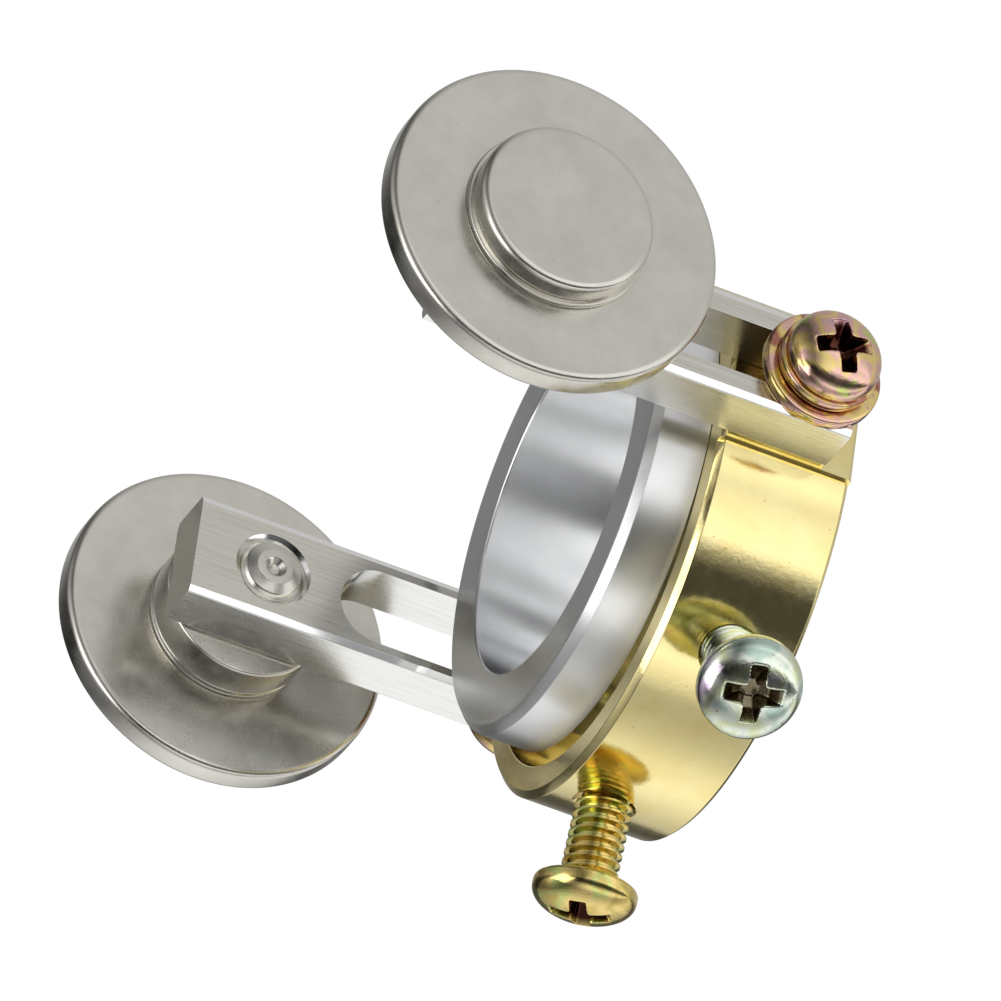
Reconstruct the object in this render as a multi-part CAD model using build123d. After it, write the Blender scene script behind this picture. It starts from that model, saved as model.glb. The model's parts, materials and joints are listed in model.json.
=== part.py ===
from build123d import *
import os

# Roller guide for a hand-held cutting torch, in millimetres.
# +Z runs along the torch bore, from the clamp ring's rear face (z = 0) towards the wheels.
# +X points at arm 1, so arm 2 is on -X, and the wheels turn about X.
# The clamp screws push the sleeve to the +Y side of the ring's wider bore.

# Clamp ring (brass), with a flat pad for each arm
RING_R = 18.75
RING_CENTRE_Y = -1.7       # the ring's own axis, from the torch bore's axis
RING_HEIGHT = 9.8
RING_BORE_R = 16.5
RING_FRONT_CHAMFER = 0.45
RING_REAR_CHAMFER = 0.3
PAD_X = 19.05              # flat that an arm lies on, from the bore axis
PAD_ROOT_X = 16.9          # inside the ring's wall
PAD_WIDTH = 8.4
PAD_CHAMFER = 0.3
SCREW_HOLE_R = 2.05
ARM_SCREW_Z = 5.2          # both arm screws
CLAMP_SCREW_Z = {1: 4.4, 2: 5.8}
CLAMP_SCREW_ANGLE = {1: -50.3, 2: -102.8}    # about the ring's axis

# Inner sleeve (aluminium)
SLEEVE_BORE_R = 12.7
SPIGOT_R = 14.75           # 0.05 clear of the ring's bore at its nearest
SLEEVE_R = 17.0            # the shoulder, which lies on the ring's front face
SLEEVE_FRONT_Z = 13.95
SHOULDER_GAP = 0.1
SLEEVE_CHAMFER = 0.6
BORE_CHAMFER = 0.25

# Arms (nickel-plated steel bar)
ARM_WIDTH = 8.0
ARM_THICKNESS = 4.4
ARM_LENGTH = {1: 30.2, 2: 31.2}
ARM_EDGE = 0.4
ARM_X = 19.1               # inner face, 0.05 clear of the pad
ARM_BOTTOM_Z = {1: 2.25, 2: 1.3}
SLOT_WIDTH = {1: 4.25, 2: 5.8}
SLOT_FROM_BOTTOM = {1: 0.85, 2: 0.95}
SLOT_TOP_FROM_BOTTOM = 20.15
AXLE_FROM_BOTTOM = 25.35

# Axle pins, wheels and what is between them
PIN_R = 2.5
RIVET_NECK_R = 2.0
RIVET_SINK_R = 2.8
RIVET_SINK_DEPTH = 0.8
RIVET_HEAD_R = 2.25
RIVET_DOME = 0.45
DIMPLE_R = 0.55
PIN_HEAD_R = 6.3
PIN_HEAD_THICKNESS = 1.75
PIN_HEAD_FILLET = 0.5
COLLAR_R = 6.0
COLLAR_THICKNESS = 3.4
WHEEL_R = 12.0
WHEEL_THICKNESS = 2.25
WHEEL_EDGE = 0.5
WHEEL_BORE_CLEARANCE = 0.05
WHEEL_SIDE_CLEARANCE = 0.05
THRUST_WASHER_R = 6.6
THRUST_WASHER_THICKNESS = 0.4

# M4 screws and the washers captive on the arm screws
THREAD_R = 2.0
THREAD_ROOT_R = 1.57
THREAD_PITCH = 0.7
CLAMP_HEAD_R = 3.65
ARM_HEAD_R = 3.35
HEAD_RIM = 0.7
HEAD_HEIGHT = 2.45
HEAD_TOP_R = 1.5
RECESS_SPAN = 4.3
RECESS_WIDTH = 1.1
RECESS_DEPTH = 1.7
RECESS_BOTTOM_SCALE = 0.45
ARM_SCREW_LENGTH = 8.0
CLAMP_SCREW_LENGTH = 10.0
CLAMP_SCREW_OUT = 24.8     # underside of a clamp screw's head, from the ring's axis
WASHER_HOLE_R = 2.1
FLAT_WASHER_R = 4.3
FLAT_WASHER_THICKNESS = 0.8
SPRING_WASHER_R = 3.55
SPRING_WASHER_THICKNESS = 1.1
SPRING_SPLIT = 0.5
SPRING_SPLIT_ANGLE = 25.0
ARM_CLEARANCE = 0.05       # between a flat washer and the arm it clamps


def turned(points, axis):
    """A solid turned from a closed outline of (radius, height) points about the axis."""
    outline = Polyline(*[(r, 0, h) for r, h in points], close=True)
    solid = revolve(make_face(outline), Axis.Z)
    return to_axis(solid, axis)


def to_axis(shape, axis):
    """Turns a shape made along +Z so that it lies along +Z, +X or -X."""
    turns = {"z": (0, 0, 0), "x": (0, 90, 0), "-x": (0, -90, 0)}
    return Rotation(*turns[axis]) * shape


def screw_hole(height):
    """A cylinder from the Z axis out along +X at one screw's height."""
    rod = Cylinder(SCREW_HOLE_R, RING_R + 5, align=(Align.CENTER, Align.CENTER, Align.MIN))
    return Pos(0, 0, height) * Rotation(0, 90, 0) * rod


def about_ring(angle, shape):
    """Turns a shape that points along +X to an angle about the ring's own axis."""
    return Pos(0, RING_CENTRE_Y, 0) * Rotation(0, 0, angle) * shape


def arm_pad():
    width = PAD_X - PAD_ROOT_X
    pad = Box(width, PAD_WIDTH, RING_HEIGHT, align=(Align.MIN, Align.CENTER, Align.MIN))
    outer_edges = pad.edges().filter_by(Axis.Y).sort_by(Axis.X)[-2:]
    return Pos(PAD_ROOT_X, 0, 0) * chamfer(outer_edges, PAD_CHAMFER)


def clamp_ring():
    ring = turned([
        (RING_BORE_R, 0),
        (RING_R - RING_REAR_CHAMFER, 0),
        (RING_R, RING_REAR_CHAMFER),
        (RING_R, RING_HEIGHT - RING_FRONT_CHAMFER),
        (RING_R - RING_FRONT_CHAMFER, RING_HEIGHT),
        (RING_BORE_R, RING_HEIGHT),
    ], "z")
    ring = Pos(0, RING_CENTRE_Y, 0) * ring
    for number in (1, 2):
        ring += on_side(number, arm_pad())
    for number in (1, 2):
        ring -= on_side(number, screw_hole(ARM_SCREW_Z))
        ring -= about_ring(CLAMP_SCREW_ANGLE[number], screw_hole(CLAMP_SCREW_Z[number]))
    return ring


def inner_sleeve():
    shoulder_z = RING_HEIGHT + SHOULDER_GAP
    return turned([
        (SLEEVE_BORE_R, 0),
        (SPIGOT_R, 0),
        (SPIGOT_R, shoulder_z),
        (SLEEVE_R, shoulder_z),
        (SLEEVE_R, SLEEVE_FRONT_Z - SLEEVE_CHAMFER),
        (SLEEVE_R - SLEEVE_CHAMFER, SLEEVE_FRONT_Z),
        (SLEEVE_BORE_R + BORE_CHAMFER, SLEEVE_FRONT_Z),
        (SLEEVE_BORE_R, SLEEVE_FRONT_Z - BORE_CHAMFER),
    ], "z")


def on_side(number, shape):
    """Arm 1's parts stay on +X; arm 2's are turned half round the bore axis."""
    return shape if number == 1 else Rotation(0, 0, 180) * shape


def along_arm(points, number):
    """A turned part on the wheel's axis; its heights are distances from the bore axis."""
    axle_z = ARM_BOTTOM_Z[number] + AXLE_FROM_BOTTOM
    return on_side(number, Pos(0, 0, axle_z) * turned(points, "x"))


def arm(number):
    bottom = ARM_BOTTOM_Z[number]
    bar = Box(ARM_THICKNESS, ARM_WIDTH, ARM_LENGTH[number], align=(Align.MIN, Align.CENTER, Align.MIN))
    bar = chamfer(bar.edges().filter_by(Axis.Z), ARM_EDGE)
    bar = Pos(ARM_X, 0, bottom) * bar
    width = SLOT_WIDTH[number]
    slot_length = SLOT_TOP_FROM_BOTTOM - SLOT_FROM_BOTTOM[number]
    slot_middle = bottom + SLOT_FROM_BOTTOM[number] + slot_length / 2
    slot = extrude(SlotOverall(slot_length, width), ARM_THICKNESS + 2)
    bar -= Pos(ARM_X - 1, 0, slot_middle) * Rotation(0, 90, 0) * slot
    solid = on_side(number, bar)
    sink = along_arm([
        (0, ARM_X - 1),
        (RIVET_SINK_R, ARM_X - 1),
        (RIVET_SINK_R, ARM_X),
        (RIVET_NECK_R, ARM_X + RIVET_SINK_DEPTH),
        (RIVET_NECK_R, ARM_X + ARM_THICKNESS + 1),
        (0, ARM_X + ARM_THICKNESS + 1),
    ], number)
    return solid - sink


def wheel_planes():
    """Distances from the bore axis: collar, wheel, thrust washer, pin head and its top."""
    collar = ARM_X + ARM_THICKNESS
    wheel = collar + COLLAR_THICKNESS + WHEEL_SIDE_CLEARANCE
    washer = wheel + WHEEL_THICKNESS + WHEEL_SIDE_CLEARANCE
    head = washer + THRUST_WASHER_THICKNESS
    return collar, wheel, washer, head, head + PIN_HEAD_THICKNESS


def axle_pin(number):
    collar, _, _, head, top = wheel_planes()
    # The riveted end fills the bottom of the countersink and stands a little proud of the arm.
    pin = along_arm([
        (0, ARM_X - RIVET_DOME + DIMPLE_R),
        (DIMPLE_R, ARM_X - RIVET_DOME),
        (RIVET_HEAD_R - 0.7, ARM_X - RIVET_DOME),
        (RIVET_HEAD_R, ARM_X),
        (RIVET_HEAD_R, ARM_X + RIVET_SINK_DEPTH * 0.6875),
        (RIVET_NECK_R, ARM_X + RIVET_SINK_DEPTH),
        (RIVET_NECK_R, collar),
        (PIN_R, collar),
        (PIN_R, head),
        (PIN_HEAD_R, head),
        (PIN_HEAD_R, top),
        (0, top),
    ], number)
    rim = pin.edges().filter_by(GeomType.CIRCLE).sort_by(lambda e: abs(e.center().X))[-1]
    return fillet(rim, PIN_HEAD_FILLET)


def spacer_collar(number):
    collar = wheel_planes()[0]
    end = collar + COLLAR_THICKNESS
    return along_arm([(PIN_R, collar), (COLLAR_R, collar), (COLLAR_R, end), (PIN_R, end)], number)


def wheel(number):
    start = wheel_planes()[1]
    end = start + WHEEL_THICKNESS
    bore = PIN_R + WHEEL_BORE_CLEARANCE
    disc = along_arm([(bore, start), (WHEEL_R, start), (WHEEL_R, end), (bore, end)], number)
    rims = disc.edges().filter_by(GeomType.CIRCLE).filter_by(lambda e: e.radius > WHEEL_R / 2)
    return fillet(rims, WHEEL_EDGE)


def thrust_washer(number):
    _, _, start, end, _ = wheel_planes()
    return along_arm([(PIN_R, start), (THRUST_WASHER_R, start), (THRUST_WASHER_R, end), (PIN_R, end)],
                     number)


def cross_recess():
    """The tapered cross in a screw's head, its mouth at z = 0 and its point below."""
    cross = Rectangle(RECESS_SPAN, RECESS_WIDTH) + Rectangle(RECESS_WIDTH, RECESS_SPAN)
    bottom = scale(cross, RECESS_BOTTOM_SCALE)
    return loft([Pos(0, 0, 0.3) * cross, Pos(0, 0, -RECESS_DEPTH) * bottom], ruled=True)


def screw(length, head_r):
    """A pan-head screw along +Z: underside of the head at z = 0, head above, thread below."""
    groove_count = int((length - 0.8) / THREAD_PITCH)
    thread = [(THREAD_R, 0)]
    for turn in range(groove_count):
        crest_z = -0.35 - turn * THREAD_PITCH
        thread.append((THREAD_R, crest_z))
        thread.append((THREAD_ROOT_R, crest_z - THREAD_PITCH * 0.45))
        thread.append((THREAD_R, crest_z - THREAD_PITCH * 0.9))
    points = [(0, HEAD_HEIGHT), (0, -length), (THREAD_ROOT_R - 0.2, -length)]
    points += [(THREAD_R, -length + 0.4)]
    points += list(reversed(thread))
    points += [(head_r - 0.15, 0), (head_r, 0.2), (head_r, HEAD_RIM)]
    outline = Polyline(*[(r, 0, z) for r, z in points])
    dome = ThreePointArc(
        (head_r, 0, HEAD_RIM),
        (head_r * 0.84, 0, HEAD_RIM + (HEAD_HEIGHT - HEAD_RIM) * 0.62),
        (HEAD_TOP_R, 0, HEAD_HEIGHT - 0.08),
    )
    top = Line((HEAD_TOP_R, 0, HEAD_HEIGHT - 0.08), (0, 0, HEAD_HEIGHT))
    body = revolve(make_face(outline + dome + top), Axis.Z)
    return body - Pos(0, 0, HEAD_HEIGHT) * cross_recess()


def arm_stack_planes():
    """Distances from the bore axis: flat washer, spring washer and screw head underside."""
    flat = ARM_X + ARM_THICKNESS + ARM_CLEARANCE
    spring = flat + FLAT_WASHER_THICKNESS
    return flat, spring, spring + SPRING_WASHER_THICKNESS


def arm_screw(number):
    head = arm_stack_planes()[2]
    shape = Rotation(0, 90, 0) * screw(ARM_SCREW_LENGTH, ARM_HEAD_R)
    return on_side(number, Pos(head, 0, ARM_SCREW_Z) * shape)


def flat_washer(number):
    flat, spring, _ = arm_stack_planes()
    ring = turned([
        (WASHER_HOLE_R, flat),
        (FLAT_WASHER_R, flat),
        (FLAT_WASHER_R, spring),
        (WASHER_HOLE_R, spring),
    ], "x")
    return on_side(number, Pos(0, 0, ARM_SCREW_Z) * ring)


def spring_washer(number):
    _, spring, head = arm_stack_planes()
    ring = turned([
        (WASHER_HOLE_R, spring),
        (SPRING_WASHER_R, spring),
        (SPRING_WASHER_R, head),
        (WASHER_HOLE_R, head),
    ], "x")
    cut = Box(SPRING_WASHER_THICKNESS * 2, SPRING_SPLIT, SPRING_WASHER_R)
    cut = Rotation(0, 0, SPRING_SPLIT_ANGLE) * cut
    cut = Pos((spring + head) / 2, 0, (SPRING_WASHER_R + WASHER_HOLE_R) / 2) * cut
    return on_side(number, Pos(0, 0, ARM_SCREW_Z) * (ring - cut))


def clamp_screw(number):
    shape = Rotation(0, 90, 0) * screw(CLAMP_SCREW_LENGTH, CLAMP_HEAD_R)
    return about_ring(CLAMP_SCREW_ANGLE[number], Pos(CLAMP_SCREW_OUT, 0, CLAMP_SCREW_Z[number]) * shape)


os.makedirs("parts", exist_ok=True)
export_step(clamp_ring(), "parts/clamp_ring.step")
export_step(inner_sleeve(), "parts/inner_sleeve.step")
for maker in (arm, wheel, axle_pin, spacer_collar, thrust_washer, arm_screw, spring_washer,
              flat_washer, clamp_screw):
    for number in (1, 2):
        export_step(maker(number), f"parts/{maker.__name__}_{number}.step")
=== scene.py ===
import json
import math

import bmesh
import bpy
from mathutils import Matrix, Vector


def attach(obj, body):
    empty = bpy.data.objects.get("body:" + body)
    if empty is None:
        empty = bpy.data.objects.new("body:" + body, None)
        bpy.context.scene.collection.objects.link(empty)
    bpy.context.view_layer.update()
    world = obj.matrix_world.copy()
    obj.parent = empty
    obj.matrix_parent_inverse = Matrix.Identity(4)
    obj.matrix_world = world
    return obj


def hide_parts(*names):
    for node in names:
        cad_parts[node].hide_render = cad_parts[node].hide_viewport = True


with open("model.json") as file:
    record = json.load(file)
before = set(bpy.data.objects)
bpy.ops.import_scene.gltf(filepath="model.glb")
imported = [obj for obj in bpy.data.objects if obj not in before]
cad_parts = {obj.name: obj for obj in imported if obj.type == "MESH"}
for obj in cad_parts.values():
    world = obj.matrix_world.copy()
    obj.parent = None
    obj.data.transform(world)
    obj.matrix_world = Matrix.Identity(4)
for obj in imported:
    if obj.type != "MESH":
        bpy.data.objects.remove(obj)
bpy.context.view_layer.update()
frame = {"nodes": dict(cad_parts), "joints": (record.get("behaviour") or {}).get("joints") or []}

# Roller guide for a hand cutting torch: every piece is made in millimetres about its own axis,
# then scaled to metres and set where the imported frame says.

MM = 0.001
TURN = 2 * math.pi
AXIS_X = Vector((1, 0, 0))
AXIS_Y = Vector((0, 1, 0))
AXIS_Z = Vector((0, 0, 1))

# Camera: angles in degrees, places in metres, lens and sensor in millimetres
CAMERA_AZIMUTH = 53.8
CAMERA_ELEVATION = 16.74
CAMERA_ROLL = 70.1
CAMERA_DISTANCE = 1.0996
CAMERA_AIM = Vector((-4.8, 1.7, 16.1)) * MM
CAMERA_LENS = 575.4
SENSOR_WIDTH = 36.0

# Studio: metres and watts
FLOOR_Z = -3.9 * MM         # just under the lowest point that an arm slides down to
FLOOR_RADIUS = 3.0
FLOOR_COLOUR = (1.0, 1.0, 1.0)
FLOOR_MATT = (0.15, 0.15, 0.15)
FLOOR_GLOW = 0.97
KEY_DIRECTION = (0.2, -0.5, 1.0)
KEY_DISTANCE = 0.5
KEY_SIZE = 0.35
KEY_POWER = 0.7

# Turned and milled pieces (mm)
SEGMENTS = 192
FINE_SEGMENTS = 288         # of the ring, the sleeve and the wheels
SHARP_ANGLE = math.radians(34)
END_EDGE_ANGLE = math.radians(50)       # the arm's edges that are sharper than this are bevelled
RING_BORE_R = 16.5
RING_FRONT_CHAMFER = 0.45
RING_REAR_CHAMFER = 0.3
PAD_ROOT_X = 16.9
PAD_WIDTH = 8.4
PAD_CHAMFER = 0.3
HOLE_R = 2.03
HOLE_CHAMFER = 0.22
HOLE_START = 10             # inside the ring's bore, from its axis
HOLE_OVERRUN = 2
SLEEVE_BORE_R = 12.7
SLEEVE_SHOULDER_GAP = 0.03
SPIGOT_R = 14.75
FACE_CHAMFER = 0.6
ARM_EDGE_WIDTH = 0.5        # of the bevel along the arm's long edges, on its broad faces
ARM_EDGE_DEPTH = 0.25
ARM_END_EDGE = 0.25
SLOT_WIDTH = {1: 4.25, 2: 5.8}
SLOT_FROM_BOTTOM = {1: 0.85, 2: 0.95}
SLOT_TOP_FROM_BOTTOM = 20.15
RIVET_NECK_R = 2.0
RIVET_SINK_R = 2.8
RIVET_SINK_DEPTH = 0.8
RIVET_CLEARANCE = 0.02
JOURNAL_R = 2.5
WHEEL_EDGE = 0.5
WHEEL_CLEARANCE = 0.05
GROOVE_DEPTH = 0.18
SIDE_TURN = 2.1             # so that the clouds of the two wheels differ

# M4 screws and their washers (mm)
THREAD_R = 2.0
THREAD_ROOT_R = 1.6
THREAD_PITCH = 0.7
THREAD_PROFILE = [0, 0, 0.3, 0.72, 1, 1, 1, 0.72, 0.3, 0]      # over one pitch, from root to crest
THREAD_LEAD_IN = 0.7        # over which the crests grow at the tip
THREAD_RUN_OUT = 0.25       # and fade under the head
TIP_LENGTH = 0.45
TIP_TAPER = 0.3
HEAD_HEIGHT = 2.45
HEAD_RIM = 0.62
HEAD_VOXEL = 0.06
SPRING_THICKNESS = 0.86
SPRING_RISE = 0.24
SPRING_GAP = math.radians(9)
SPRING_LEAN = 0.06
SPRING_CLEARANCE = 0.1
FLAT_CLEARANCE = 0.15

# Tints of the zinc plate
GOLD = (0.88, 0.68, 0.26)
OLD_GOLD = (0.66, 0.52, 0.16)
ROSE = (0.82, 0.50, 0.44)
MAUVE = (0.66, 0.44, 0.50)
GREEN = (0.66, 0.70, 0.24)
PALE_GREEN = (0.72, 0.78, 0.50)
SILVER = (0.80, 0.85, 0.74)
SEA = (0.52, 0.66, 0.58)
LILAC = (0.64, 0.54, 0.66)
RED_BROWN = (0.42, 0.17, 0.12)
# Painted shade for the cross recess of a pan head: a dark one and a paler one
RECESS_DARK_SHADE = (0.09, 0.03, 0.02)
RECESS_PALE_SHADE = (0.24, 0.20, 0.13)

# What nearly all of a noise lies between
NOISE_LEAST = 0.3
NOISE_MOST = 0.7

# Where a bar's edge bevels, which carry a painted highlight, and its narrow sides, which are painted lighter,
# begin and are complete, by how far its face has turned
HIGHLIGHT_EDGE = (0.1, 0.25)
NARROW_SIDE = (0.8, 0.95)


# ---------------------------------------------------------------- reading the frame

def reach(node, direction):
    """How far a CAD node's points lie along a direction: (least, most), in millimetres."""
    heights = [vertex.co.dot(direction) / MM for vertex in frame["nodes"][node].data.vertices]
    return min(heights), max(heights)


def half_width(node, direction):
    least, most = reach(node, direction)
    return (most - least) / 2


def middle(node, direction):
    least, most = reach(node, direction)
    return (most + least) / 2


def side(number):
    """Arm 1's side is +X; arm 2's is turned half round the bore axis."""
    return Matrix.Rotation(math.pi * (number - 1), 4, "Z")


def outward(number):
    return side(number) @ AXIS_X


# ---------------------------------------------------------------- shapes

def eased(corners, steps=5):
    """A closed outline of (x, y, radius) corners, each with an arc of that radius."""
    points = []
    for i, (x, y, radius) in enumerate(corners):
        here = Vector((x, y))
        if radius == 0:
            points.append(here)
            continue
        back = (Vector(corners[i - 1][:2]) - here).normalized()
        on = (Vector(corners[(i + 1) % len(corners)][:2]) - here).normalized()
        half = back.angle(on) / 2
        centre = here + (back + on).normalized() * radius / math.sin(half)
        start = (here + back * radius / math.tan(half) - centre).normalized()
        end = (here + on * radius / math.tan(half) - centre).normalized()
        points += [centre + start.slerp(end, k / steps) * radius for k in range(steps + 1)]
    return points


def new_mesh(bm, name):
    bmesh.ops.remove_doubles(bm, verts=bm.verts, dist=1e-5)
    bmesh.ops.recalc_face_normals(bm, faces=bm.faces)
    mesh = bpy.data.meshes.new(name)
    bm.to_mesh(mesh)
    bm.free()
    return mesh


def skin(bm, rings, closed):
    """Quads between neighbouring rings of vertices; a ring of one vertex is a point on the axis."""
    pairs = list(zip(rings, rings[1:]))
    if closed:
        pairs.append((rings[-1], rings[0]))
    for a, b in pairs:
        count = max(len(a), len(b))
        if count < 2:
            continue
        for k in range(count):
            n = (k + 1) % count
            corners = [a[k % len(a)], a[n % len(a)], b[n % len(b)], b[k % len(b)]]
            unique = list(dict.fromkeys(corners))
            if len(unique) > 2:
                bm.faces.new(unique)


def lathe(name, outline, segments=SEGMENTS):
    """A closed solid turned about +Z from an outline of (radius, height) points."""
    bm = bmesh.new()
    rings = []
    for radius, height in outline:
        if radius < 1e-6:
            rings.append([bm.verts.new((0, 0, height))])
            continue
        angles = [TURN * k / segments for k in range(segments)]
        rings.append([bm.verts.new((radius * math.cos(a), radius * math.sin(a), height)) for a in angles])
    skin(bm, rings, closed=True)
    return new_mesh(bm, name)


def prism(name, outline, low, high, matrix=None):
    """An outline in X and Y drawn out along +Z."""
    bm = bmesh.new()
    rings = [[bm.verts.new((x, y, z)) for x, y in outline] for z in (low, high)]
    skin(bm, rings, closed=False)
    bm.faces.new(rings[0])
    bm.faces.new(rings[1])
    mesh = new_mesh(bm, name)
    if matrix:
        mesh.transform(matrix)
    return mesh


def slot_outline(length, width, steps=24):
    """A slot along X with round ends."""
    straight = (length - width) / 2
    points = []
    for end in (1, -1):
        for k in range(steps + 1):
            angle = math.pi * (k / steps - 0.5) + (0 if end > 0 else math.pi)
            points.append((end * straight + width / 2 * math.cos(angle), width / 2 * math.sin(angle)))
    return points


def applied(mesh, *setups):
    """The mesh after the modifiers that each setup adds; a setup is (type, {setting: value})."""
    obj = bpy.data.objects.new("working", mesh)
    bpy.context.scene.collection.objects.link(obj)
    for kind, settings in setups:
        modifier = obj.modifiers.new(kind, kind)
        for key, value in settings.items():
            setattr(modifier, key, value)
    graph = bpy.context.evaluated_depsgraph_get()
    result = bpy.data.meshes.new_from_object(obj.evaluated_get(graph))
    bpy.data.objects.remove(obj)
    return result


def combined(operation, mesh, tools):
    for tool in tools:
        other = bpy.data.objects.new("other", tool)
        bpy.context.scene.collection.objects.link(other)
        mesh = applied(mesh, ("BOOLEAN", {"operation": operation, "solver": "EXACT", "object": other}))
        bpy.data.objects.remove(other)
    return mesh


def without(mesh, *tools):
    """The mesh with each tool mesh cut out of it."""
    return combined("DIFFERENCE", mesh, tools)


def together(mesh, *tools):
    """The mesh with each tool mesh added to it."""
    return combined("UNION", mesh, tools)


def place(name, mesh, matrix, body, slot, material, *nodes):
    """Puts a mesh made in millimetres where the matrix says, on a CAD body, in place of CAD nodes."""
    mesh = mesh.copy()
    mesh.name = name
    mesh.transform(Matrix.Scale(MM, 4))
    mesh.materials.clear()
    mesh.materials.append(material)
    mesh.shade_smooth()
    mesh.set_sharp_from_angle(angle=SHARP_ANGLE)
    obj = bpy.data.objects.new(name, mesh)
    bpy.context.scene.collection.objects.link(obj)
    weighted = obj.modifiers.new("weighted", "WEIGHTED_NORMAL")
    weighted.keep_sharp = True
    metres = matrix.copy()
    metres.translation = matrix.translation * MM
    obj.matrix_world = metres
    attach(obj, body)
    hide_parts(*nodes)
    return obj


# ---------------------------------------------------------------- material nodes

class Graph:
    """Short calls for building one node tree."""

    def __init__(self, tree):
        self.tree = tree
        tree.nodes.clear()

    def node(self, kind, inputs=None, **settings):
        made = self.tree.nodes.new("ShaderNode" + kind)
        for key, value in settings.items():
            setattr(made, key, value)
        for key, value in (inputs or {}).items():
            if isinstance(value, bpy.types.NodeSocket):
                self.tree.links.new(value, made.inputs[key])
            else:
                made.inputs[key].default_value = value
        return made

    def math(self, operation, a, b=0.0, clamp=False):
        return self.node("Math", {0: a, 1: b}, operation=operation, use_clamp=clamp).outputs[0]

    def scaled(self, vector, scale, shift=(0, 0, 0)):
        return self.node("Mapping", {"Vector": vector, "Scale": scale, "Location": shift}).outputs[0]

    def noise(self, vector, scale, detail=4.0, roughness=0.55):
        inputs = {"Vector": vector, "Scale": scale, "Detail": detail, "Roughness": roughness}
        return self.node("TexNoise", inputs).outputs["Fac"]

    def remap(self, value, low, high, to_low, to_high):
        inputs = {"Value": value, "From Min": low, "From Max": high, "To Min": to_low, "To Max": to_high}
        return self.node("MapRange", inputs).outputs[0]

    def spread(self, noise, low, high):
        """A number that follows a noise, from low to high."""
        return self.remap(noise, NOISE_LEAST, NOISE_MOST, low, high)

    def blend(self, noise, low, high):
        """A colour that follows a noise, from low to high."""
        return self.ramp(noise, [(NOISE_LEAST, low), (NOISE_MOST, high)])

    def ramp(self, value, stops, interpolation="LINEAR"):
        made = self.node("ValToRGB", {"Fac": value})
        made.color_ramp.interpolation = interpolation
        elements = made.color_ramp.elements
        for i, (position, colour) in enumerate(stops):
            element = elements[i] if i < 2 else elements.new(position)
            element.position = position
            element.color = (*colour, 1)
        return made.outputs[0]

    def mix(self, factor, a, b):
        made = self.node("Mix", data_type="RGBA")
        for socket, value in (("Factor", factor), ("A", a), ("B", b)):
            target = [s for s in made.inputs if s.name == socket and s.enabled][0]
            if isinstance(value, bpy.types.NodeSocket):
                self.tree.links.new(value, target)
            else:
                target.default_value = value if socket == "Factor" else (*value, 1)
        return [s for s in made.outputs if s.enabled][0]


def metal(name, colour_of, roughness_of, height_of, bump=0.3, distance=0.02, anisotropy=0.0,
          grain_turn=0.0):
    """A metal whose colour, roughness and height come from three functions of (graph, mm coordinates)."""
    material = bpy.data.materials.new(name)
    material.use_nodes = True
    g = Graph(material.node_tree)
    local = g.node("TexCoord").outputs["Object"]
    place_mm = g.scaled(local, (1 / MM,) * 3)
    height = g.node("Bump", {"Height": height_of(g, place_mm), "Strength": bump, "Distance": distance * MM})
    shader = g.node("BsdfPrincipled", {
        "Base Color": colour_of(g, place_mm),
        "Roughness": roughness_of(g, place_mm),
        "Normal": height.outputs[0],
        "Metallic": 1.0,
        "Anisotropic": anisotropy,
        "Anisotropic Rotation": grain_turn,
    })
    g.node("OutputMaterial", {"Surface": shader.outputs[0]})
    return material


def specks(g, place_mm, scale, threshold, soft=0.04):
    """Sparse small spots: 1 inside a spot and 0 elsewhere."""
    fine = g.noise(place_mm, scale, detail=2.0, roughness=0.4)
    return g.remap(fine, threshold, threshold + soft, 0, 1)


def radius_of(g, place_mm):
    """Distance from the piece's own axis."""
    flat = g.node("VectorMath", {0: place_mm, 1: (1, 1, 0)}, operation="MULTIPLY").outputs[0]
    return g.node("VectorMath", {0: flat}, operation="LENGTH").outputs["Value"]


def satin_nickel():
    """Cast-looking plate: warm grey clouds, a fine peel and a few darker pits."""
    def pits(g, p):
        return specks(g, p, 2.6, 0.75)

    def colour(g, p):
        base = g.blend(g.noise(p, 0.28, detail=5.0), (0.66, 0.635, 0.57), (0.75, 0.73, 0.67))
        return g.mix(pits(g, p), base, (0.56, 0.53, 0.47))

    def roughness(g, p):
        return g.spread(g.noise(p, 0.9, detail=6.0), 0.19, 0.30)

    def height(g, p):
        peel = g.noise(p, 5.0, detail=3.0)
        return g.math("SUBTRACT", peel, g.math("MULTIPLY", pits(g, p), 0.4))

    return metal("satin_nickel", colour, roughness, height, bump=0.22, distance=0.02)


def turned_to_y(g, low, high):
    """How far a face has turned from the piece's own X towards its Y: 0 at low and 1 at high."""
    facing = g.node("SeparateXYZ", {0: g.node("TexCoord").outputs["Normal"]}).outputs["Y"]
    return g.remap(g.math("ABSOLUTE", facing), low, high, 0, 1)


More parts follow.
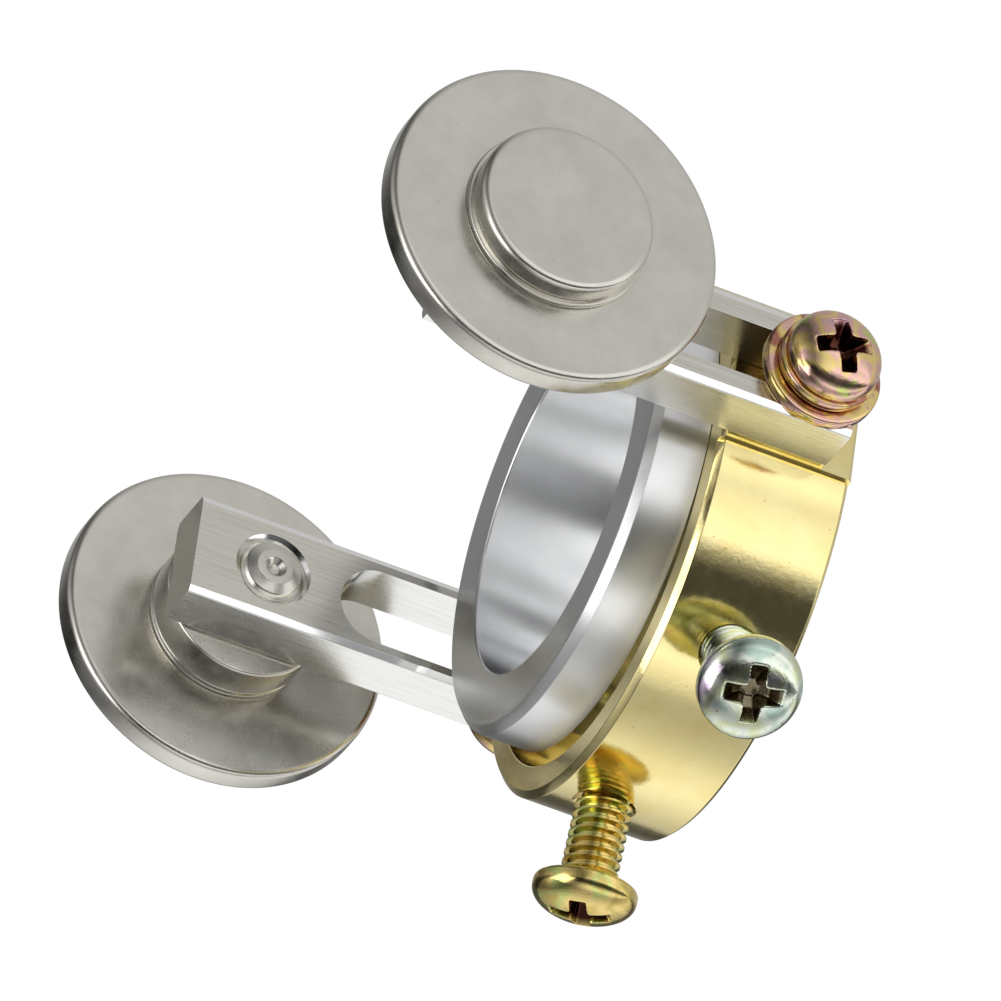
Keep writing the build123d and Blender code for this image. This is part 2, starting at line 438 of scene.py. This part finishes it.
def brushed_nickel():
    """Bar stock: fine lines along its own Z; the edge bevels carry a painted highlight and are smoother; the
    milled narrow sides are painted lighter, a painted highlight, and are duller.
    """
    def colour(g, p):
        line = g.noise(g.scaled(p, (6, 6, 0.12)), 1.0, detail=5.0)
        broad = g.blend(line, (0.64, 0.61, 0.54), (0.78, 0.76, 0.70))
        # painted highlight: the narrow sides are painted lighter than the broad faces
        narrow_highlight = g.blend(line, (0.86, 0.85, 0.81), (0.97, 0.965, 0.94))
        # painted highlight: the edge bevels are painted near white
        highlight_edges = g.mix(turned_to_y(g, *HIGHLIGHT_EDGE), broad, (1.0, 1.0, 0.98))
        return g.mix(turned_to_y(g, *NARROW_SIDE), highlight_edges, narrow_highlight)

    def roughness(g, p):
        line = g.noise(g.scaled(p, (9, 9, 0.2)), 1.0, detail=4.0)
        milled = g.math("MULTIPLY", turned_to_y(g, *NARROW_SIDE), 0.16)
        highlight_edges = g.math("MULTIPLY", turned_to_y(g, *HIGHLIGHT_EDGE), -0.07)
        return g.math("ADD", g.spread(line, 0.10, 0.20), g.math("ADD", milled, highlight_edges))

    def height(g, p):
        return g.noise(g.scaled(p, (14, 14, 0.25)), 1.0, detail=4.0)

    return metal("brushed_nickel", colour, roughness, height, bump=0.25, distance=0.015)


def brass():
    """Bright yellow brass with soft clouds and a few brown spots."""
    def colour(g, p):
        base = g.blend(g.noise(p, 0.35, detail=4.0), (0.94, 0.78, 0.34), (0.99, 0.87, 0.44))
        return g.mix(specks(g, p, 2.2, 0.74), base, (0.72, 0.52, 0.20))

    def roughness(g, p):
        return g.spread(g.noise(p, 1.4, detail=5.0), 0.08, 0.15)

    def height(g, p):
        peel = g.noise(p, 2.4, detail=2.0)
        grain = g.noise(p, 11.0, detail=3.0)
        return g.math("ADD", peel, g.math("MULTIPLY", grain, 0.3))

    return metal("brass", colour, roughness, height, bump=0.16, distance=0.03)


def turned_aluminium():
    """Circles of the lathe tool on the faces and fine rings round the sides; the outside is duller."""
    def tool_marks(g, p):
        along = g.node("SeparateXYZ", {0: p}).outputs["Z"]
        place_2d = g.node("CombineXYZ", {"X": radius_of(g, p), "Y": along}).outputs[0]
        return g.noise(place_2d, 7.0, detail=4.0, roughness=0.7)

    def colour(g, p):
        return g.blend(g.noise(p, 0.4, detail=5.0), (0.89, 0.90, 0.91), (0.96, 0.965, 0.97))

    def roughness(g, p):
        outside = g.remap(radius_of(g, p), SPIGOT_R + 1, SPIGOT_R + 2, 0, 0.14)
        return g.math("ADD", g.spread(tool_marks(g, p), 0.19, 0.26), outside)

    return metal("turned_aluminium", colour, roughness, tool_marks, bump=0.12, distance=0.01, anisotropy=0.85,
                 grain_turn=0.25)


def recess_depth(g, place_mm, radius):
    """How far a point of a pan head lies under its dome, in millimetres."""
    ratio = g.math("DIVIDE", radius_of(g, place_mm), radius)
    level = g.math("SQRT", g.math("SUBTRACT", 1.0, g.math("POWER", ratio, 2.0), clamp=True))
    dome = g.math("ADD", g.math("MULTIPLY", level, HEAD_HEIGHT - HEAD_RIM), HEAD_RIM)
    along = g.node("SeparateXYZ", {0: place_mm}).outputs["Z"]
    above_rim = g.remap(along, 0.3, 0.5, 0, 1)
    return g.math("MULTIPLY", g.math("SUBTRACT", dome, along), above_rim)


def colour_zinc(name, tints, shift, head_r=None, recess=RECESS_DARK_SHADE):
    """Iridescent zinc plate: the tints drift over the piece in soft patches; a head's cross recess gets
    painted shade, darker the deeper it lies under the dome.
    """
    def colour(g, p):
        warp = g.noise(g.scaled(p, (1, 1, 1), (shift, 0, 0)), 0.42, detail=2.0, roughness=0.45)
        step = (NOISE_MOST - NOISE_LEAST) / (len(tints) - 1)
        stops = [(NOISE_LEAST + step * i, tint) for i, tint in enumerate(tints)]
        base = g.ramp(warp, stops, "EASE")
        base = g.mix(specks(g, p, 3.0, 0.70), base, (0.40, 0.30, 0.18))
        if head_r is None:
            return base
        # painted shade in the cross recess: the deeper under the dome, the more of the recess colour
        return g.mix(g.remap(recess_depth(g, p, head_r), 0.12, 0.55, 0, 1), base, recess)

    def roughness(g, p):
        return g.spread(g.noise(p, 1.8, detail=4.0), 0.12, 0.22)

    def height(g, p):
        return g.noise(p, 3.2, detail=4.0)

    return metal(name, colour, roughness, height, bump=0.25, distance=0.03)


# ---------------------------------------------------------------- ring and sleeve

def ring_mesh():
    """The ring about its own axis, with a flat pad for each arm."""
    outer = half_width("clamp_ring", AXIS_Y)
    pad_x = half_width("clamp_ring", AXIS_X)
    height = reach("clamp_ring", AXIS_Z)[1]
    mesh = lathe("ring", eased([
        (RING_BORE_R, 0, 0.1),
        (outer - RING_REAR_CHAMFER, 0, 0.12),
        (outer, RING_REAR_CHAMFER, 0.12),
        (outer, height - RING_FRONT_CHAMFER, 0.14),
        (outer - RING_FRONT_CHAMFER, height, 0.14),
        (RING_BORE_R, height, 0.12),
    ], steps=3), segments=FINE_SEGMENTS)
    pad = eased([
        (PAD_ROOT_X, 0, 0),
        (pad_x - PAD_CHAMFER, 0, 0.1),
        (pad_x, PAD_CHAMFER, 0.1),
        (pad_x, height - PAD_CHAMFER, 0.1),
        (pad_x - PAD_CHAMFER, height, 0.1),
        (PAD_ROOT_X, height, 0),
    ], steps=3)
    bore_axis = Matrix.Translation((0, -middle("clamp_ring", AXIS_Y), 0))
    upright = Matrix.Rotation(math.pi / 2, 4, "X")
    tools = []
    for number in (1, 2):
        arm_side = bore_axis @ side(number)
        mesh = together(mesh, prism("pad", pad, -PAD_WIDTH / 2, PAD_WIDTH / 2, arm_side @ upright))
        tools.append(hole_tool(arm_side, middle(f"arm_screw_{number}", AXIS_Z), pad_x))
        turn = Matrix.Rotation(clamp_angle(number), 4, "Z")
        tools.append(hole_tool(turn, middle(f"clamp_screw_{number}", AXIS_Z), outer))
    return without(mesh, *tools)


def hole_tool(turn, height, surface):
    """A screw hole along +X from the bore to the outer surface, with a small chamfer at its mouth."""
    mouth_r = HOLE_R + HOLE_CHAMFER * 2
    mesh = lathe("hole", [
        (0, HOLE_START),
        (HOLE_R, HOLE_START),
        (HOLE_R, surface - HOLE_CHAMFER),
        (mouth_r, surface + HOLE_CHAMFER),
        (mouth_r, surface + HOLE_OVERRUN),
        (0, surface + HOLE_OVERRUN),
    ], segments=64)
    mesh.transform(turn @ Matrix.Translation((0, 0, height)) @ Matrix.Rotation(math.pi / 2, 4, "Y"))
    return mesh


def sleeve_mesh():
    """The spigot inside the ring and the wider shoulder that lies on the ring's front face."""
    outer = half_width("inner_sleeve", AXIS_X)
    front = reach("inner_sleeve", AXIS_Z)[1]
    shoulder = reach("clamp_ring", AXIS_Z)[1] + SLEEVE_SHOULDER_GAP
    outline = eased([
        (SLEEVE_BORE_R, 0, 0.15),
        (SPIGOT_R, 0, 0.2),
        (SPIGOT_R, shoulder, 0.03),
        (outer, shoulder, 0.03),
        (outer, front - FACE_CHAMFER, 0.12),
        (outer - FACE_CHAMFER, front, 0.1),
        (SLEEVE_BORE_R, front, 0.2),
    ], steps=3)
    return lathe("sleeve", outline, segments=FINE_SEGMENTS)


# ---------------------------------------------------------------- arms, pins and wheels

def arm_mesh(number):
    """A rounded bar along Z with its slot and the countersink for the rivet, about the arm's inner face."""
    thickness = 2 * half_width(f"arm_{number}", AXIS_X)
    width = half_width(f"arm_{number}", AXIS_Y)
    bottom, top = reach(f"arm_{number}", AXIS_Z)
    broad = width - ARM_EDGE_WIDTH
    deep = thickness - ARM_EDGE_DEPTH
    outline = eased([
        (0, -broad, 0.2),
        (ARM_EDGE_DEPTH, -width, 0.12),
        (deep, -width, 0.12),
        (thickness, -broad, 0.2),
        (thickness, broad, 0.2),
        (deep, width, 0.12),
        (ARM_EDGE_DEPTH, width, 0.12),
        (0, broad, 0.2),
    ], steps=4)
    mesh = prism("arm", outline, bottom, top)
    slot_start = bottom + SLOT_FROM_BOTTOM[number]
    slot_end = bottom + SLOT_TOP_FROM_BOTTOM
    across = Matrix.Rotation(math.pi / 2, 4, "Y")
    slot = prism("slot", slot_outline(slot_end - slot_start, SLOT_WIDTH[number]), -1, thickness + 1)
    slot.transform(Matrix.Translation((0, 0, (slot_start + slot_end) / 2)) @ across)
    neck_r = RIVET_NECK_R + RIVET_CLEARANCE
    sink = lathe("sink", [
        (0, -1),
        (RIVET_SINK_R, -1),
        (RIVET_SINK_R, 0.05),
        (neck_r, RIVET_SINK_DEPTH),
        (neck_r, thickness + 1),
        (0, thickness + 1),
    ], segments=96)
    sink.transform(Matrix.Translation((0, 0, middle(f"wheel_{number}", AXIS_Z))) @ across)
    mesh = without(mesh, slot, sink)
    bevel = {"width": ARM_END_EDGE, "segments": 2, "limit_method": "ANGLE", "angle_limit": END_EDGE_ANGLE}
    return applied(mesh, ("BEVEL", bevel))


def pin_mesh(number):
    """The axle along +Z from the bore axis: dimpled rivet, neck in the arm, journal and head."""
    arm_in, arm_out = reach(f"arm_{number}", outward(number))
    rivet, top = reach(f"axle_pin_{number}", outward(number))
    head_r = half_width(f"axle_pin_{number}", AXIS_Z)
    head = reach(f"thrust_washer_{number}", outward(number))[1]
    return lathe("pin", eased([
        (0, rivet + 0.5, 0),
        (0.42, rivet + 0.42, 0.12),
        (0.78, rivet, 0.14),
        (1.35, rivet + 0.02, 0.3),
        (2.05, arm_in - 0.1, 0.3),
        (2.3, arm_in + 0.28, 0.12),
        (2.35, arm_in + RIVET_SINK_DEPTH * 0.65, 0.05),
        (RIVET_NECK_R, arm_in + RIVET_SINK_DEPTH, 0.05),
        (RIVET_NECK_R, arm_out, 0),
        (JOURNAL_R, arm_out, 0),
        (JOURNAL_R, head, 0),
        (head_r - 0.12, head, 0.1),
        (head_r, head + 0.3, 0.25),
        (head_r, top, 0.5),
        (0, top, 0),
    ], steps=6))


def collar_mesh(number):
    """The spacer: a plain turned collar with a shallow groove where it meets the wheel."""
    start, end = reach(f"spacer_collar_{number}", outward(number))
    outer = half_width(f"spacer_collar_{number}", AXIS_Z)
    groove_r = outer - GROOVE_DEPTH
    return lathe("collar", eased([
        (JOURNAL_R, start, 0),
        (outer, start, 0.22),
        (outer, end - 0.75, 0.08),
        (groove_r, end - 0.6, 0.08),
        (groove_r, end - 0.42, 0.08),
        (outer, end - 0.3, 0.08),
        (outer, end, 0.16),
        (JOURNAL_R, end, 0),
    ], steps=4))


def wheel_mesh(number):
    """A plain disc with rounded rims that runs on the pin's journal."""
    start, end = reach(f"wheel_{number}", outward(number))
    outer = half_width(f"wheel_{number}", AXIS_Z)
    bore = JOURNAL_R + WHEEL_CLEARANCE
    return lathe("wheel", eased([
        (bore, start, 0.1),
        (outer, start, WHEEL_EDGE),
        (outer, end, WHEEL_EDGE),
        (bore, end, 0.1),
    ], steps=7), segments=FINE_SEGMENTS)


def thrust_mesh(number):
    start, end = reach(f"thrust_washer_{number}", outward(number))
    outer = half_width(f"thrust_washer_{number}", AXIS_Z)
    return lathe("thrust", eased([
        (JOURNAL_R, start, 0),
        (outer, start, 0.06),
        (outer, end, 0.12),
        (JOURNAL_R, end, 0),
    ], steps=3))


# ---------------------------------------------------------------- screws and washers

def thread_mesh(length, around=64):
    """A helical M4 thread from z = 0 down to -length, with a lead-in at its tip."""
    bm = bmesh.new()
    rows = len(THREAD_PROFILE)
    turns = math.ceil(length / THREAD_PITCH) + 2
    grid = []
    for row in range(turns * rows):
        ring = []
        for k in range(around):
            z = (row / rows - 1 + k / around) * THREAD_PITCH
            z = min(max(z, 0), length)
            grown = min((length - z) / THREAD_LEAD_IN, z / THREAD_RUN_OUT, 1)
            crest = THREAD_PROFILE[row % rows] * max(grown, 0)
            radius = THREAD_ROOT_R + (THREAD_R - THREAD_ROOT_R) * crest
            radius -= TIP_TAPER * max(0, 1 - (length - z) / TIP_LENGTH)
            angle = TURN * k / around
            ring.append(bm.verts.new((radius * math.cos(angle), -radius * math.sin(angle), -z)))
        grid.append(ring)
    for row, ring in enumerate(grid[:-1]):
        for k in range(around - 1):
            bm.faces.new((ring[k], ring[k + 1], grid[row + 1][k + 1], grid[row + 1][k]))
        if row + rows + 1 < len(grid):
            over = grid[row + rows], grid[row + rows + 1]
            bm.faces.new((ring[-1], over[0][0], over[1][0], grid[row + 1][-1]))
    bmesh.ops.remove_doubles(bm, verts=bm.verts, dist=1e-4)
    bmesh.ops.dissolve_degenerate(bm, edges=bm.edges, dist=1e-4)
    bmesh.ops.holes_fill(bm, edges=[e for e in bm.edges if e.is_boundary])
    return new_mesh(bm, "thread")


def cross_level(span, width, z):
    """One level of the cross recess: four wings with rounded ends and open inner corners."""
    wing = [(span, -width, 0.1), (span, width, 0.1), (width, width, 0.22)]
    corners = []
    for quarter in range(4):
        turn = Matrix.Rotation(quarter * math.pi / 2, 2)
        for x, y, radius in wing:
            at = turn @ Vector((x, y))
            corners.append((at.x, at.y, radius))
    return [(point.x, point.y, z) for point in eased(corners, steps=3)]


def recess_mesh():
    """The tapered cross, with its mouth above the head and its point near the head's underside."""
    bm = bmesh.new()
    # A wing's reach from the axis, half its width and its height
    levels = [
        (2.32, 0.66, HEAD_HEIGHT + 0.4),
        (2.12, 0.58, HEAD_HEIGHT - 0.35),
        (1.3, 0.45, HEAD_HEIGHT - 1.45),
        (0.62, 0.33, HEAD_HEIGHT - 1.85),
    ]
    rings = [[bm.verts.new(point) for point in cross_level(*level)] for level in levels]
    skin(bm, rings, closed=False)
    bm.faces.new(rings[0])
    bm.faces.new(rings[-1])
    return new_mesh(bm, "recess")


def head_mesh(radius):
    """A pan head with a cross recess, its edges softened as cold-formed, plated steel is."""
    dome = []
    for k in range(17):
        angle = math.pi / 2 * k / 16
        dome.append((radius * math.cos(angle), HEAD_RIM + (HEAD_HEIGHT - HEAD_RIM) * math.sin(angle), 0))
    outline = eased([(0, 0, 0), (radius - 0.1, 0, 0.12), (radius, 0.22, 0.12)] + dome, steps=3)
    mesh = without(lathe("head", outline, segments=128), recess_mesh())
    return applied(
        mesh,
        ("REMESH", {"mode": "VOXEL", "voxel_size": HEAD_VOXEL}),
        ("SMOOTH", {"factor": 0.5, "iterations": 5}),
    )


def screw_mesh(node, head_r, direction):
    """The whole screw, with the underside of its head at z = 0."""
    least, most = reach(node, direction)
    bm = bmesh.new()
    bm.from_mesh(thread_mesh(most - least - HEAD_HEIGHT))
    bm.from_mesh(head_mesh(head_r))
    mesh = bpy.data.meshes.new(node)
    bm.to_mesh(mesh)
    bm.free()
    return mesh


def spring_washer_mesh(outer, hole):
    """A split ring of square wire that climbs a little on its way round."""
    bm = bmesh.new()
    half = SPRING_THICKNESS / 2
    section = eased([
        (hole, -half, 0.1),
        (outer, -half, 0.16),
        (outer, half, 0.16),
        (hole, half, 0.1),
    ], steps=3)
    steps = 120
    rings = []
    for k in range(steps + 1):
        angle = SPRING_GAP / 2 + (TURN - SPRING_GAP) * k / steps
        rise = SPRING_RISE * (k / steps - 0.5)
        lean = SPRING_LEAN * (k / steps - 0.5)
        rings.append([
            bm.verts.new((r * math.cos(angle + lean * z), r * math.sin(angle + lean * z), z + rise))
            for r, z in section
        ])
    skin(bm, rings, closed=False)
    bm.faces.new(rings[0])
    bm.faces.new(rings[-1])
    return new_mesh(bm, "spring_washer")


def flat_washer_mesh(thickness, outer, hole):
    """A stamped washer: rounded over on the punch side, sharp on the other."""
    return lathe("flat_washer", eased([
        (hole, 0, 0.05),
        (outer, 0, 0.08),
        (outer, thickness, 0.28),
        (hole, thickness, 0.18),
    ], steps=4))


# ---------------------------------------------------------------- the whole guide

def clamp_angle(number):
    """Direction of a clamp screw round the bore axis, from its joint."""
    joint = [j for j in frame["joints"] if j["name"] == f"clamp_screw_{number}_travel"][0]
    return math.atan2(joint["axis"][1], joint["axis"][0])


def make_ring_and_sleeve():
    centre = Matrix.Translation((0, middle("clamp_ring", AXIS_Y), 0))
    place("ring", ring_mesh(), centre, "ring", "brass", brass(), "clamp_ring")
    place("sleeve", sleeve_mesh(), Matrix.Identity(4), "sleeve", "aluminium", turned_aluminium(),
          "inner_sleeve")


def make_wheel_side(number, satin, brushed):
    """The arm and all that it carries."""
    arm_body = f"arm_{number}"
    inner_face = reach(f"arm_{number}", outward(number))[0]
    axle = side(number) @ Matrix.Translation((0, 0, middle(f"wheel_{number}", AXIS_Z)))
    axle = axle @ Matrix.Rotation(math.pi / 2, 4, "Y") @ Matrix.Rotation(SIDE_TURN * number, 4, "Z")
    bar = side(number) @ Matrix.Translation((inner_face, 0, 0))
    place(f"bar_{number}", arm_mesh(number), bar, arm_body, "nickel", brushed, f"arm_{number}")
    place(f"pin_{number}", pin_mesh(number), axle, arm_body, "nickel", satin, f"axle_pin_{number}")
    place(f"collar_{number}", collar_mesh(number), axle, arm_body, "nickel", satin, f"spacer_collar_{number}")
    place(f"thrust_{number}", thrust_mesh(number), axle, arm_body, "nickel", satin, f"thrust_washer_{number}")
    place(f"roller_{number}", wheel_mesh(number), axle, f"wheel_{number}", "nickel", satin, f"wheel_{number}")


def make_arm_screw(number, screw_material, washer_material, turn):
    """A screw with its spring washer and flat washer, all riding on the screw."""
    body = f"arm_screw_{number}"
    direction = outward(number)
    height = middle(f"arm_screw_{number}", AXIS_Z)
    flat_start, flat_end = reach(f"flat_washer_{number}", direction)
    head = reach(f"spring_washer_{number}", direction)[1]
    head_r = half_width(f"arm_screw_{number}", AXIS_Z)
    outer = half_width(f"flat_washer_{number}", AXIS_Z)
    spring_outer = half_width(f"spring_washer_{number}", AXIS_Z)
    base = side(number) @ Matrix.Translation((0, 0, height)) @ Matrix.Rotation(math.pi / 2, 4, "Y")
    base = base @ Matrix.Rotation(turn, 4, "Z")
    screw = screw_mesh(f"arm_screw_{number}", head_r, direction)
    place(f"screw_{number}", screw, base @ Matrix.Translation((0, 0, head)), body, "zinc",
          screw_material, f"arm_screw_{number}")
    spring = spring_washer_mesh(spring_outer, THREAD_R + SPRING_CLEARANCE)
    place(f"split_washer_{number}", spring, base @ Matrix.Translation((0, 0, (flat_end + head) / 2)), body,
          "zinc", washer_material, f"spring_washer_{number}")
    flat = flat_washer_mesh(flat_end - flat_start, outer, THREAD_R + FLAT_CLEARANCE)
    place(f"plain_washer_{number}", flat, base @ Matrix.Translation((0, 0, flat_start)), body,
          "zinc", washer_material, f"flat_washer_{number}")


def make_clamp_screw(number, material, turn):
    """A screw that points at the ring's own axis."""
    angle = clamp_angle(number)
    direction = Vector((math.cos(angle), math.sin(angle), 0))
    height = middle(f"clamp_screw_{number}", AXIS_Z)
    head_r = half_width(f"clamp_screw_{number}", AXIS_Z)
    centre = Matrix.Translation((0, middle("clamp_ring", AXIS_Y), 0))
    top = reach(f"clamp_screw_{number}", direction)[1] - centre.translation.dot(direction)
    under_head = top - HEAD_HEIGHT
    matrix = centre @ Matrix.Rotation(angle, 4, "Z") @ Matrix.Translation((under_head, 0, height))
    matrix = matrix @ Matrix.Rotation(math.pi / 2, 4, "Y") @ Matrix.Rotation(turn, 4, "Z")
    screw = screw_mesh(f"clamp_screw_{number}", head_r, direction)
    place(f"clamp_{number}", screw, matrix, f"clamp_screw_{number}", "zinc", material,
          f"clamp_screw_{number}")


def make_guide():
    satin = satin_nickel()
    brushed = brushed_nickel()
    arm_head = half_width("arm_screw_1", AXIS_Z)
    clamp_head = half_width("clamp_screw_1", AXIS_Z)
    warm = colour_zinc("colour_zinc_warm", [MAUVE, ROSE, GOLD, ROSE, GREEN], 3.0, arm_head)
    cool = colour_zinc("colour_zinc_cool", [SEA, SILVER, PALE_GREEN, SILVER, LILAC], 11.0, clamp_head,
                       recess=RECESS_PALE_SHADE)
    olive = colour_zinc("colour_zinc_gold", [OLD_GOLD, GREEN, GOLD, OLD_GOLD, GOLD], 5.0, clamp_head)
    washers = colour_zinc("colour_zinc_washer", [MAUVE, RED_BROWN, GOLD, ROSE, GOLD], 7.0)
    make_ring_and_sleeve()
    for number in (1, 2):
        make_wheel_side(number, satin, brushed)
    make_arm_screw(1, warm, washers, 0.3)
    make_arm_screw(2, warm, washers, 1.1)
    make_clamp_screw(1, cool, 0.2)
    make_clamp_screw(2, olive, 0.5)


# ---------------------------------------------------------------- studio

# Brightness of the studio's walls at hand height, by compass direction (0 is +X, 90 is +Y): broad soft
# windows with dark gaps between them, the widest where the camera stands.
WALLS = [
    (-180, 0.12), (-176, 0.52), (-160, 0.72), (-150, 0.90), (-140, 1.05), (-126, 0.92), (-112, 0.60),
    (-100, 0.46), (-92, 0.46), (-84, 0.90), (-74, 1.20), (-66, 0.95), (-59, 0.22), (-50, 0.06), (-33, 0.06),
    (-27, 0.30), (-20, 1.35), (-8, 1.15), (4, 0.90), (14, 1.25), (24, 0.85), (36, 0.60), (62, 0.60),
    (110, 0.48), (140, 0.50), (155, 0.20), (170, 0.07), (180, 0.10),
]
# How that changes from the floor (-90) to straight above (90).
RISE = [
    (-90, 1.1), (-40, 1.0), (-10, 1.0), (6, 0.85), (16, 0.55), (30, 0.14), (48, 0.35), (70, 0.9), (90, 1.2),
]


def banded(g, angle, limit, table):
    """Grey tones over an angle from -limit to limit, from a table of (degrees, brightness)."""
    stops = [((degrees + limit) / (2 * limit), (brightness,) * 3) for degrees, brightness in table]
    return g.ramp(g.remap(angle, -math.radians(limit), math.radians(limit), 0, 1), stops)


def studio_world():
    """Lit by the walls, and plain white where the camera looks straight at it."""
    world = bpy.data.worlds.new("studio")
    bpy.context.scene.world = world
    world.use_nodes = True
    g = Graph(world.node_tree)
    way = g.node("SeparateXYZ", {0: g.node("TexCoord").outputs["Generated"]})
    azimuth = g.math("ARCTAN2", way.outputs["Y"], way.outputs["X"])
    elevation = g.math("ARCSINE", way.outputs["Z"])
    tones = {0: banded(g, azimuth, 180, WALLS), 1: banded(g, elevation, 90, RISE)}
    tone = g.node("VectorMath", tones, operation="MULTIPLY").outputs[0]
    seen = g.node("Background", {"Color": (*FLOOR_COLOUR, 1), "Strength": 1.0})
    lit = g.node("Background", {"Color": tone, "Strength": 1.0})
    camera_ray = g.node("LightPath").outputs["Is Camera Ray"]
    mixed = g.node("MixShader", {0: camera_ray, 1: lit.outputs[0], 2: seen.outputs[0]})
    g.node("OutputWorld", {"Surface": mixed.outputs[0]})


def pale_floor():
    """A pale floor that is clear from underneath, so the guide can be looked at from below."""
    bm = bmesh.new()
    bmesh.ops.create_circle(bm, cap_ends=True, segments=96, radius=FLOOR_RADIUS)
    mesh = bpy.data.meshes.new("floor")
    bm.to_mesh(mesh)
    bm.free()
    floor = bpy.data.objects.new("floor", mesh)
    floor.location.z = FLOOR_Z
    bpy.context.scene.collection.objects.link(floor)
    floor.visible_glossy = False
    floor.visible_shadow = False
    material = bpy.data.materials.new("pale_floor")
    material.use_nodes = True
    g = Graph(material.node_tree)
    matt = g.node("BsdfDiffuse", {"Color": (*FLOOR_MATT, 1)})
    glow = g.node("Emission", {"Color": (*FLOOR_COLOUR, 1), "Strength": FLOOR_GLOW})
    both = g.node("AddShader", {0: matt.outputs[0], 1: glow.outputs[0]})
    clear = g.node("BsdfTransparent")
    from_below = g.node("NewGeometry").outputs["Backfacing"]
    sheet = g.node("MixShader", {0: from_below, 1: both.outputs[0], 2: clear.outputs[0]})
    g.node("OutputMaterial", {"Surface": sheet.outputs[0]})
    mesh.materials.append(material)


def soft_light(name, direction, distance, size, power):
    """A square soft box that looks at the guide from a direction."""
    lamp = bpy.data.lights.new(name, "AREA")
    lamp.size = size
    lamp.energy = power
    obj = bpy.data.objects.new(name, lamp)
    bpy.context.scene.collection.objects.link(obj)
    way = Vector(direction).normalized()
    obj.location = CAMERA_AIM + way * distance
    obj.rotation_mode = "QUATERNION"
    obj.rotation_quaternion = way.to_track_quat("Z", "Y")


def camera():
    """A long lens that looks at the guide from the direction of the camera's angles."""
    data = bpy.data.cameras.new("camera")
    data.lens = CAMERA_LENS
    data.sensor_width = SENSOR_WIDTH
    data.clip_start = 0.05
    data.clip_end = 20.0
    obj = bpy.data.objects.new("camera", data)
    bpy.context.scene.collection.objects.link(obj)
    azimuth, elevation = math.radians(CAMERA_AZIMUTH), math.radians(CAMERA_ELEVATION)
    back = Vector((
        math.sin(azimuth) * math.cos(elevation),
        -math.cos(azimuth) * math.cos(elevation),
        math.sin(elevation),
    ))
    obj.location = CAMERA_AIM + back * CAMERA_DISTANCE
    obj.rotation_mode = "QUATERNION"
    roll = Matrix.Rotation(math.radians(-CAMERA_ROLL), 4, "Z")
    upright = (-back).to_track_quat("-Z", "Y").to_matrix().to_4x4()
    obj.rotation_quaternion = (upright @ roll).to_quaternion()
    bpy.context.scene.camera = obj


make_guide()
studio_world()
pale_floor()
soft_light("key", KEY_DIRECTION, KEY_DISTANCE, KEY_SIZE, KEY_POWER)
camera()
bpy.context.scene.view_settings.view_transform = "Standard"
